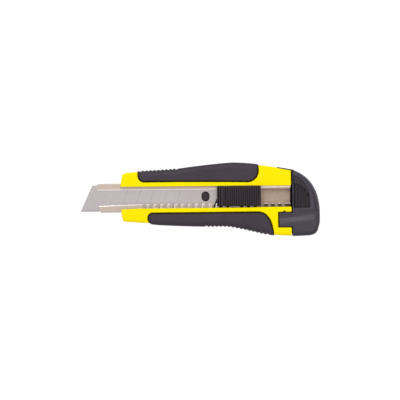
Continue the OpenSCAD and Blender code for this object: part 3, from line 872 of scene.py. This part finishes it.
# ---- slider
def ribbed(name, x0, y0, x1, y1, z_low, z_top, corner, edge, grooves, width, depth, crown):
    """A block with grooves across its top, each with its middle at one of those places, and
    a top that falls by crown towards its two sides."""
    marks = {x0 + 0.3, x1 - 0.3}
    for g in grooves:
        marks |= {g - width / 2 - 0.06, g - width / 2, g - width / 4, g, g + width / 4,
                  g + width / 2, g + width / 2 + 0.06}
    for a, b in zip(grooves, grooves[1:]):
        marks.add((a + b) / 2)
    extra = [(x, y) for x in sorted(marks) for y in np.linspace(y0, y1, 22)]

    def groove(x, y, d):
        s = np.min([abs(x - g) for g in grooves], 0)
        ramp = np.clip(1 - s / (width / 2), 0, 1)
        bend = crown * ((y - (y0 + y1) / 2) / ((y1 - y0) / 2)) ** 2
        return -depth * np.sqrt(1 - (1 - ramp) ** 2) - bend

    return solid(name, [rectangle(x0, y0, x1, y1, corner, 6)], z_low, z_top, edge,
                 (0.15, 0.12), lift=groove, extra=extra)


FLANGE, FLANGE_Z = 15.95, 15.95  # the end and the underside of the flange over the button
TAIL_GAP = 1.35  # the dark slanted gap behind the blade's tail
RIVETS = (20.5, 36.5)  # where the two rivets hold the button


def lock_spring():
    """The leaf behind the blade's tail, with its tooth standing in a gap of the ratchet."""
    foot, end, neck = -7.2, LOCK_X + 1.6, 17.0
    leaf = [behind_tail(TAIL_GAP, foot), (end, foot), (end, -3.3), (neck, -3.3), (neck, 0.6),
            behind_tail(TAIL_GAP, 0.6)]
    part = solid("lock_leaf", [soften(leaf, 2)], DECK, DECK + 0.5, (0.12, 0.1),
                 (0.12, 0.1), grid=1.0)
    nib = solid("nib", [rectangle(LOCK_X - 0.7, -5.9, LOCK_X + 0.7, -3.4, 0.25)], 10.1,
                LIP_Z - 0.05, (0.3, 0.3), (0.02, 0.02), grid=0.5)
    return carve(part, [nib], "UNION")


def thumb_button():
    """The ribbed button. Its toe is lowered under the carrier's flange."""
    x0, y0, z0 = BUTTON_LO
    x1, y1, z1 = BUTTON_HI
    ribs = 17
    pitch = (x1 - x0) / ribs
    grooves = [x0 + i * pitch for i in range(1, ribs)]
    part = ribbed("thumb_button_ribbed", x0, y0, x1, y1, z0, z1, 0.8, (0.7, 0.9), grooves,
                  width=0.72, depth=0.6, crown=0.25)
    toe = block(x0 - 1, y0 - 1, FLANGE_Z - 0.15, x0 + 1.0, y1 + 1, z1 + 1)
    return carve(part, [block(x0 - 1, -2.6, 10, x1 - 0.9, 6.4, 13.75), toe])


def carrier():
    """The slider's own moulding: plate under the rail's lips, neck, peg and front ribs."""
    neck, low, high = 17.3, -2.4, 6.2  # where the neck starts, and its sides
    parts = [solid("c", [rectangle(*lo, *hi, corner)], z0, z1, top, bottom)
             for lo, hi, corner, z0, z1, top, bottom in (
                 # the arm that holds the peg
                 ((-2, -2), (neck, high), 0.5, CARRIER_Z, DECK, (0.15, 0.15), (0.15, 0.15)),
                 # the plate in the rail and its step beside the blade
                 ((9, -7.4), (41, 10.2), 0.8, CARRIER_Z, DECK, (0.1, 0.1), (0.2, 0.2)),
                 ((neck, low), (41, 10.2), 0.5, 9.6, 10.3, (0.15, 0.15), (0.1, 0.1)),
                 # the neck between the lips, which reaches forward over the blade
                 ((12.5, low), (39.6, high), 0.3, 11.35, 13.5, (0.2, 0.2), (0.1, 0.1)),
                 ((neck, low), (39.6, high), 0.3, 9.6, 13.4, (0.2, 0.2), (0.1, 0.1)))]
    ribs = ribbed("carrier_moulding", 11.5, -4.8, FLANGE, 8.9, 11.35, 16.5, 0.5, (0.3, 0.4),
                  [12.55, 13.85], width=0.55, depth=0.9, crown=0.15)
    carve(ribs, [block(15.0, -6, 10, 18, 10, FLANGE_Z)])
    peg = solid("peg", [slot_line(2.15, 18)], 9.5, 10.95, (0.35, 0.3), (0.1, 0.1),
                lift=lambda x, y, d: -0.12 * np.clip(d / 1.6, 0, 1))
    carve(ribs, [*parts, peg], "UNION")
    slot = [behind_tail(gap, y)
            for gap, y in ((0.0, -7.5), (TAIL_GAP, -7.5), (TAIL_GAP, 0.4), (0.0, 0.4))]
    cuts = [prism(slot, 8.6, 12)]
    for rivet in RIVETS:
        # slots for the heads and the shafts, long enough for the button's shift
        cuts += [block(rivet - 2.75, 0.15, 0, rivet + 2.75, 3.85, 8.95, 1.8),
                 block(rivet - 1.95, 0.95, 0, rivet + 1.95, 3.05, 20, 1.0)]
    spring_room = block(23.6, 0.8, 12.1, 33.4, 3.2, 20)
    return carve(ribs, [*cuts, spring_room])


def covers():
    """Thin plates over the lock leaf and behind it, near-black as a painted shade in the
    ratchet's gaps.
    """
    low, high, top = -7.3, -2.2, 10.5
    front = solid("spring_covers", [rectangle(12.1, low, 25.8, high, 0.3)], 10.28, top,
                  (0.08, 0.06), (0.05, 0.04))
    rear = solid("rear", [rectangle(25.4, low, 40.8, high, 0.3)], 9.6, top,
                 (0.15, 0.12), (0.05, 0.04))
    carve(front, [rear], "UNION")
    nib_room = block(22.7, -6.1, 10, 24.5, -3.2, 11, 0.1)
    return carve(front, [nib_room])


# ---- cap
def valley(x, y):
    """How deep the hollow is that runs under the pad and along the tongue."""
    return 1.15 * np.exp(-((y + 11.7 - 0.1 * (x - 64)) / 3.0) ** 2)


def cap():
    """The cap with its thin tongue along the spine and its tongue on the face."""
    limit = rectangle(CAP_X, -40, 90, 40)
    shell = dense(CAP)
    shell = inset(shell, -0.35 * np.clip(-normals(shell) @ np.array([0.75, 0.66]), 0, 1))
    loop = areas([shell, limit])[0]
    flank = lambda x, y: np.where(x < CAP_X + 0.25, 1, 0)
    pad = inset(PAD, -0.25)

    def face(x, y, d):
        # a ridge round the pad that falls away to the spine, and a valley under the pad
        away = apart(np.stack([x, y], 1), pad, np.roll(pad, -1, 0))
        away = np.where(within(np.stack([x, y], 1), [pad]), 0, away)
        side = np.clip((y + 11) / 5, 0, 1)
        ridge = 0.3 * np.clip(1 - away / 1.1, 0, 1) ** 2
        fall = 0.42 * side * np.clip(away - 1.7, 0, 4)
        return -ridge - fall - valley(x, y) * np.clip(away / 1.2, 0, 1)

    body = solid("cap_shell", [soften(loop, 2)], CAP_LO[2], CAP_HI[2],
                 {0: (4.2, 3.2), 1: (0.35, 0.4)}, {0: (3.2, 2.6), 1: (0.4, 0.5)}, flank,
                 lift=face, grid=1.2, creases=[np.concatenate([dense(pad), dense(pad)[:1]])])
    spine = inset(BODY, -0.35)
    thin = areas([spine, rectangle(52.7, 10, CAP_X + 1, 40),
                  [(52.7, 30), (52.7, 21.6), (53.7, 20.9), *STEP_BACK[3:]]])[0]
    thin = solid("thin", [thin], PART_Z + 0.2, FACE_Z - 0.4, {0: (1.6, 1.6), 1: (0.15, 0.15)},
                 {0: (0.2, 0.2), 1: (0.1, 0.1)}, beside(spine, 0.2))
    clip = solid("clip", [rectangle(TONGUE[0], TONGUE[1], CAP_X + 1, TONGUE[2], 0.6)], 9.3,
                 FACE_Z + 0.25, (0.5, 0.45), (0.2, 0.2),
                 lift=lambda x, y, d: -valley(x, y), grid=0.9)
    carve(body, [thin, clip], "UNION")
    return carve(body, [prism(pad, PAD_LO[2], 30), *pockets()])


def pockets():
    """The room for the spigots, with a gap of 0.25 mm all round."""
    return [block(61, y0 - 0.25, z0 - 0.25, 71.6, y1 + 0.25, z1 + 0.25)
            for y0, y1, z0, z1 in SPIGOTS]


def cap_collar():
    """What fills the joint: a ring in the housing, a roof over the upper spigot, and a spur
    at the spine's end of the joint."""
    ring = collar(1.6, COLLAR[0], COLLAR_END, COLLAR[1], COLLAR[2])
    ring.name = "cap_collar"
    spur = block(JOINT_X + 0.1, 17.4, PART_Z + 0.3, COLLAR_END, 19.4, 12.5)
    carve(ring, [roof(), spur], "UNION")
    return carve(ring, pockets())


def pad():
    """The thumb pad, with ribs that fade out before its curved border."""
    ribs = [64.4 + 1.9 * i + 0.5 for i in range(6)]
    outline = inset(dense(PAD), 0.05)
    across = (-0.62, -0.5, -0.4, -0.2, 0, 0.2, 0.4, 0.5, 0.62)
    marks = sorted({r + s for r in ribs for s in across})
    extra = [(x, y) for x in marks for y in np.arange(-6.1, 16.2, 0.45)]

    def rib(x, y, d):
        s = np.min([abs(x - r) for r in ribs], 0)
        t = np.clip((s - 0.25) / 0.37, 0, 1)
        top = np.interp(x, [63.9, 68, 71.1, 73.2, 74.8], [10.9, 9.6, 7.4, 4.0, -1])
        fade = np.clip((top - y) / 0.9, 0, 1)
        return -0.75 * t * t * (3 - 2 * t) * fade - 0.25 * fade

    return solid("pad_ribbed", [outline], PAD_LO[2], PAD_HI[2], (0.5, 0.5),
                 (0.05, 0.05), lift=rib, extra=extra)


# ---- screws
def screws():
    """Pan-head screws, heads down, with a cross recess."""
    arm = 0.27
    cross = [(arm, arm), (1.3, arm), (1.3, -arm), (arm, -arm), (arm, -1.3), (-arm, -1.3),
             (-arm, -arm), (-1.3, -arm), (-1.3, arm), (-arm, arm), (-arm, 1.3), (arm, 1.3)]
    made = []
    for i, p in enumerate(SCREWS):
        turn = math.radians(17 + 31 * i)
        c, s = math.cos(turn), math.sin(turn)
        head = solid("head", [arc(p, 2.1, 0, 360, 36)[:-1]], SCREW_LO[2], 2.8,
                     (0.1, 0.1), (1.6, 0.75), grid=0.5)
        shaft = solid("shaft", [arc(p, 1.05, 0, 360, 20)[:-1]], 2.6, SCREW_HI[2],
                      (0.4, 0.8), (0.1, 0.1), grid=0.6)
        q = [(p[0] + c * x - s * y, p[1] + s * x + c * y) for x, y in cross]
        carve(head, [shaft], "UNION")
        made.append(carve(head, [prism(q[::-1], 0, 2.0)]))
    return carve(made[0], made[1:], "UNION")


# ---- assembly
place(housing_front(), "handle", YELLOW, "housing_plastic", "body_frame").name = "housing_front"
place(housing_back(), "handle", YELLOW, "housing_plastic", "back_cover")
for side, region in (("upper", UPPER), ("lower", LOWER)):
    place(grip(f"{side}_grip_face", region, PART_Z, GRIP_Z, OUTER_FACE, True), "handle",
          RUBBER, "grip_rubber", f"{side}_grip_front")
    place(grip(f"{side}_grip_rear", region, TABLE_Z, PART_Z, OUTER_BACK, False), "handle",
          RUBBER, "grip_rubber", f"{side}_grip_back")
place(rail(), "handle", RAIL_FINISH, "rail_steel", "blade_rail").name = "rail_folded"
place(screws(), "handle", SCREW_FINISH, "screw_steel", "case_screws").name = "screws_cross"
place(blade(), "slider", BLADE_FINISH, "blade_steel", "blade", angle=8)
place(carrier(), "slider", SLIDER_FINISH, "slider_plastic", "blade_carrier")
place(covers(), "slider", JOINT_SHADE, "slider_plastic")
place(lock_spring(), "slider", SPRING_FINISH, "spring_steel", "lock_spring")
place(thumb_button(), "button", SLIDER_FINISH, "slider_plastic", "thumb_button")
place(cap(), "cap", CAP_FINISH, "cap_plastic", "end_cap")
# the collar's near-black colour is a painted shade down in the joint between cap and housing
place(cap_collar(), "cap", JOINT_SHADE, "cap_plastic")
place(pad(), "cap", PAD_FINISH, "pad_rubber", "cap_pad")

# Nodes whose shape is right as it is keep it, with small bevels and a finish
KEPT = {**{f"spare_blade_{i}": BLADE_FINISH for i in (1, 2, 3)},
        "magazine_spring": SPRING_FINISH, "return_springs": SPRING_FINISH,
        "button_rivets": SCREW_FINISH}
for node, finish in KEPT.items():
    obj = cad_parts[node]
    obj.data.materials[0] = finish
    weld = obj.modifiers.new("weld", "WELD")
    weld.merge_threshold = 0.002 * MM
    bevel = obj.modifiers.new("bevel", "BEVEL")
    bevel.width, bevel.segments = 0.04 * MM, 2
    bevel.limit_method, bevel.angle_limit = "ANGLE", math.radians(40)

# ---- stage
floor_mat = Finish("floor_paper", Emission_Strength=0.86)
floor_mat.bsdf.inputs["Emission Color"].default_value = (1, 1, 1, 1)
paper = floor_mat.mix(floor_mat.map(floor_mat.noise(0.02, 3), 0.3, 0.7, 0, 1),
                      (0.26, 0.26, 0.26, 1), (0.28, 0.28, 0.28, 1))
floor_mat.bump((floor_mat.noise(0.6, 3), 0.01))
floor = make("floor", [(*q, -0.05) for q in rectangle(-3000, -3000, 3000, 3000)],
             [(0, 1, 2, 3)])
floor.data.materials.append(floor_mat.done(paper, 0.85))


def lamp(name, place_at, size, power):
    data = bpy.data.lights.new(name, "AREA")
    data.shape, data.size, data.energy = "DISK", size, power
    obj = bpy.data.objects.new(name, data)
    bpy.context.scene.collection.objects.link(obj)
    obj.location = place_at
    obj.rotation_euler = (-Vector(place_at)).to_track_quat("-Z", "Y").to_euler()
    obj.visible_camera = False


lamp("key", (-0.12, 0.6, 0.86), 0.6, 3.1)
lamp("fill", (0.7, -0.4, 1.4), 1.2, 3)


def studio():
    """A soft sky, dark at the horizon, brighter over the spine and the nose."""
    world = bpy.data.worlds.new("studio")
    sky = Nodes(world)
    ray = sky.add("ShaderNodeTexCoord").outputs["Generated"]
    side = sky.add("ShaderNodeVectorMath", operation="DOT_PRODUCT")
    sky.put(side, 0, ray)
    sky.put(side, 1, Vector((-0.45, 0.5, 0.74)).normalized())
    up = sky.add("ShaderNodeSeparateXYZ")
    sky.put(up, 0, ray)
    background = sky.tree.nodes["Background"]
    sky.put(background, "Strength", sky.times(sky.map(side.outputs["Value"], -0.8, 1.0, 0.2, 1.1),
                                              sky.map(up.outputs["Z"], 0.0, 0.55, 0.06, 1.0)))
    sky.put(background, "Color", (1, 1, 1, 1))
    return world


bpy.context.scene.world = studio()
bpy.context.scene.view_settings.view_transform = "Standard"

camera = bpy.data.cameras.new("camera")
HEIGHT, WIDE = 1.6, 0.274  # of the camera over the table, and of the view 10 mm above it
camera.sensor_width = 36
camera.lens = camera.sensor_width * (HEIGHT - 0.010) / WIDE
view = bpy.data.objects.new("camera", camera)
bpy.context.scene.collection.objects.link(view)
view.location = (-0.00017, -0.00027, HEIGHT)
view.rotation_euler = (0, 0, math.radians(-0.6))
camera.clip_start, camera.clip_end = 0.01, 20
bpy.context.scene.camera = view
